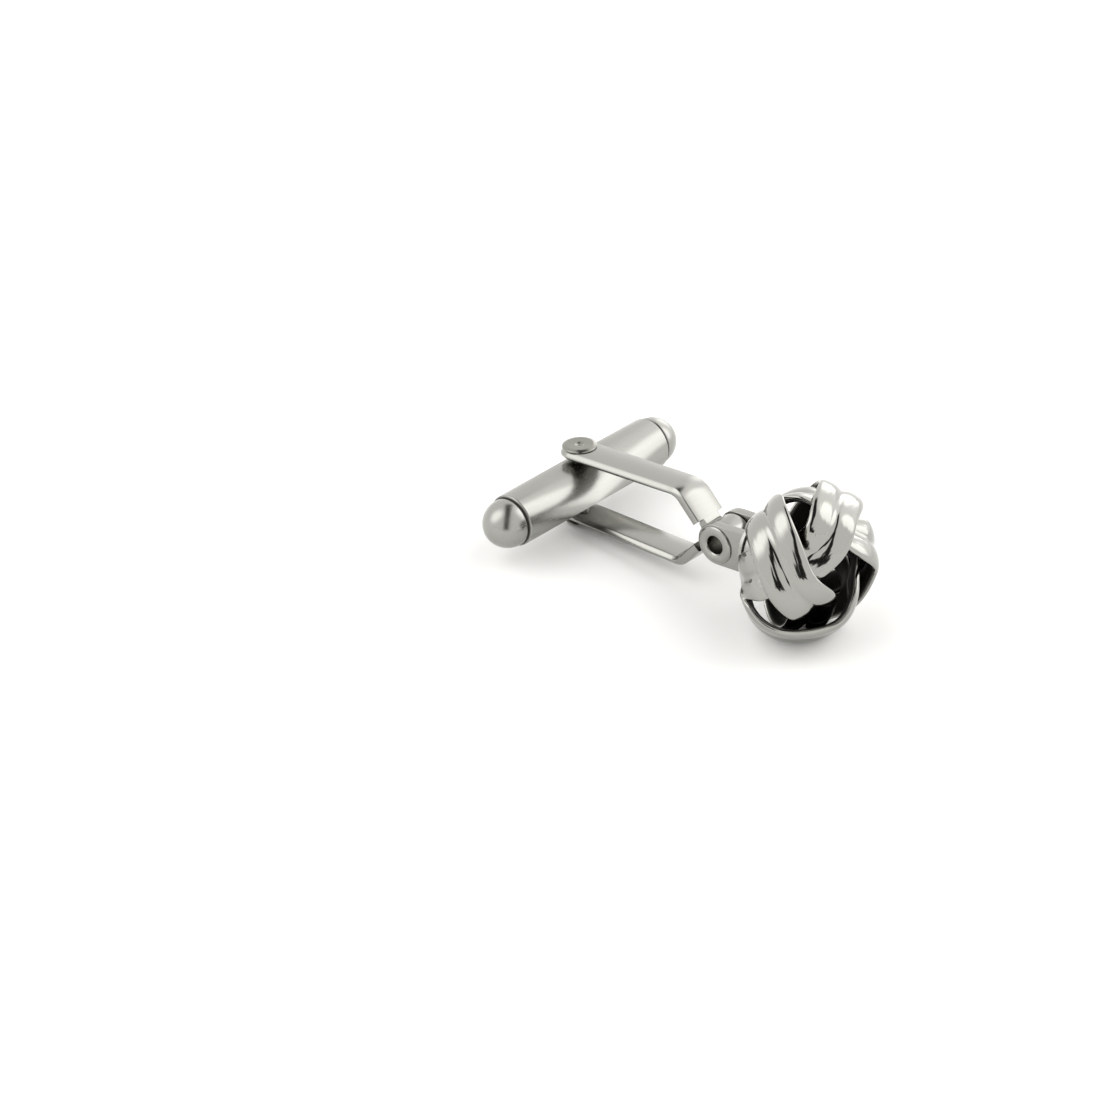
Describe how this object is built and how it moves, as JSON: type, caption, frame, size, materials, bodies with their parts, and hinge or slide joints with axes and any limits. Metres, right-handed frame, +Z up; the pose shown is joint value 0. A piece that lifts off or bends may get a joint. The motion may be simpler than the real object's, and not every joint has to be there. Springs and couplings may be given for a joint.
{
  "type": "knot cufflink",
  "caption": "Cufflink with a hollow woven knot of double metal bands on a hinged two-arm frame that holds a turning toggle bar.",
  "frame": {"origin": "centre of the base of the bounding box, on the surface the cufflink lies on", "axes": "+X along the hinge and the toggle bar, -Y towards the knot's face, +Z up from the surface"},
  "size_m": [0.0206, 0.0278, 0.0118],
  "materials": {
    "knot": "polished",
    "fork": "polished",
    "frame": "polished",
    "bar": "satin",
    "rivet": "polished"
  },
  "bodies": {
    "knot": {"knot_band_one": "knot", "knot_band_two": "knot", "hinge_fork": "fork", "hinge_rivet": "rivet"},
    "frame": {"swivel_frame": "frame", "toggle_rivet": "rivet"},
    "toggle": {"toggle_bar": "bar"}
  },
  "joints": [
    {"name": "frame_fold", "type": "hinge", "parent": "knot", "child": "frame", "pos_m": [0, -0.00242, 0.00485], "axis": [1, 0, 0], "range_deg": [-90, 90]},
    {"name": "toggle_turn", "type": "hinge", "parent": "frame", "child": "toggle", "pos_m": [0, 0.0119, 0.0033], "axis": [0, 0.107, 0.9943], "continuous": true}
  ]
}
